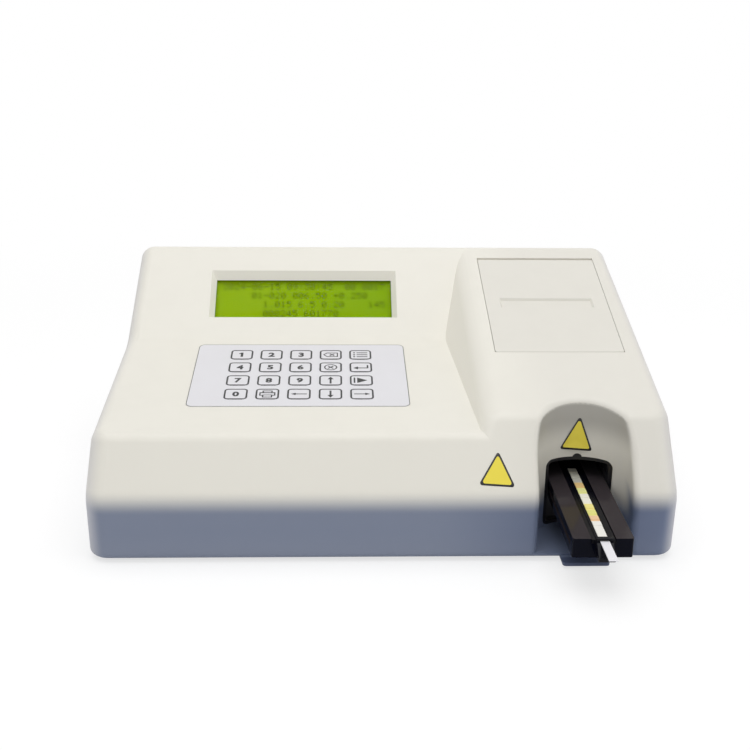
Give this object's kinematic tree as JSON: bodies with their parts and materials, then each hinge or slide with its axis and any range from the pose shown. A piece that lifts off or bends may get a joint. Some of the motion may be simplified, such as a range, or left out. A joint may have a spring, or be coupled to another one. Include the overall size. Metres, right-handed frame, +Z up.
{
  "type": "semi-automatic urine analyser",
  "caption": "Bench-top urine strip reader: wedge case with sloping display and keypad, receipt printer under a hinged lid, and a motor-driven strip tray in a front alcove.",
  "frame": {"origin": "on the bench, under the middle of the part's width and of its whole length from the strip's end to the sockets, with the feet on the XY plane", "axes": "+X to the right along the long side, +Y to the back, +Z up"},
  "size_m": [0.34, 0.2968, 0.1328],
  "materials": {
    "case_cream": "fine moulded satin",
    "case_base": "fine moulded satin",
    "foot_rubber": "matt",
    "window_clear": "polished clear",
    "lcd_green": "semi-gloss",
    "keypad_film": "fine texture",
    "contact_film": "satin",
    "board_green": "solder mask",
    "lane_black": "satin",
    "tray_black": "polished",
    "strip_white": "satin",
    "steel": "bright",
    "motor_can": "zinc plated",
    "nylon": "natural nylon",
    "roller_rubber": "matt",
    "paper": "smooth",
    "tub_grey": "satin",
    "core_steel": "varnished laminations",
    "winding_tape": "wrapped tape",
    "socket_black": "satin",
    "brass_plate": "nickel plated"
  },
  "bodies": {
    "case": {"upper_case": "case_cream", "lower_case": "case_base", "case_screws": "steel", "lcd_window": "window_clear", "lcd_glass": "lcd_green", "lcd_module": "board_green", "keypad_overlay": "keypad_film", "keypad_switch_layer": "contact_film", "paper_tub": "tub_grey", "printer_chassis": "steel", "thermal_head": "board_green", "feed_motor": "motor_can", "paper_roll": "paper", "tray_guide": "lane_black", "guide_screws": "steel", "tray_motor": "motor_can", "optical_head": "lane_black", "head_board": "board_green", "home_sensor": "socket_black", "main_board": "board_green", "power_board": "board_green", "board_screws": "steel", "transformer_core": "core_steel", "transformer_winding": "winding_tape", "mains_inlet": "socket_black", "inlet_blades": "brass_plate", "inlet_screws": "steel", "switch_frame": "socket_black", "serial_port": "steel", "foot_front_left": "foot_rubber", "foot_front_right": "foot_rubber", "foot_back_left": "foot_rubber", "foot_back_right": "foot_rubber"},
    "tray": {"strip_tray": "tray_black", "strip_insert": "lane_black", "test_strip": "strip_white"},
    "tray_drive": {"drive_pinion": "nylon", "motor_shaft": "steel"},
    "lid": {"printer_lid": "case_cream", "tear_bar": "steel"},
    "platen": {"platen_roller": "roller_rubber", "platen_shaft": "steel", "platen_gear": "nylon"},
    "feed": {"feed_pinion": "nylon"},
    "rocker": {"power_rocker": "socket_black"}
  },
  "joints": [
    {"name": "tray_slide", "type": "slide", "parent": "case", "child": "tray", "axis": [0, 1, 0], "range_m": [0, 0.078]},
    {"name": "pinion_spin", "type": "hinge", "parent": "case", "child": "tray_drive", "pos_m": [0.1085, -0.0239, 0.015], "axis": [1, 0, 0], "range_deg": [-625, 5]},
    {"name": "lid_hinge", "type": "hinge", "parent": "case", "child": "lid", "pos_m": [0.11235, 0.11509, 0.12565], "axis": [-1, 0, 0], "range_deg": [0, 85]},
    {"name": "platen_spin", "type": "hinge", "parent": "case", "child": "platen", "pos_m": [0.11235, 0.05897, 0.10059], "axis": [1, 0, 0], "continuous": true},
    {"name": "feed_spin", "type": "hinge", "parent": "case", "child": "feed", "pos_m": [0.11235, 0.04843, 0.10059], "axis": [1, 0, 0], "continuous": true},
    {"name": "rocker_tilt", "type": "hinge", "parent": "case", "child": "rocker", "pos_m": [-0.082, 0.1426, 0.021], "axis": [1, 0, 0], "range_deg": [0, 20]}
  ],
  "couplings": [
    {"joint": "pinion_spin", "follows": "tray_slide", "rad_per_m": -138.89},
    {"joint": "feed_spin", "follows": "platen_spin", "ratio": -2.5}
  ]
}
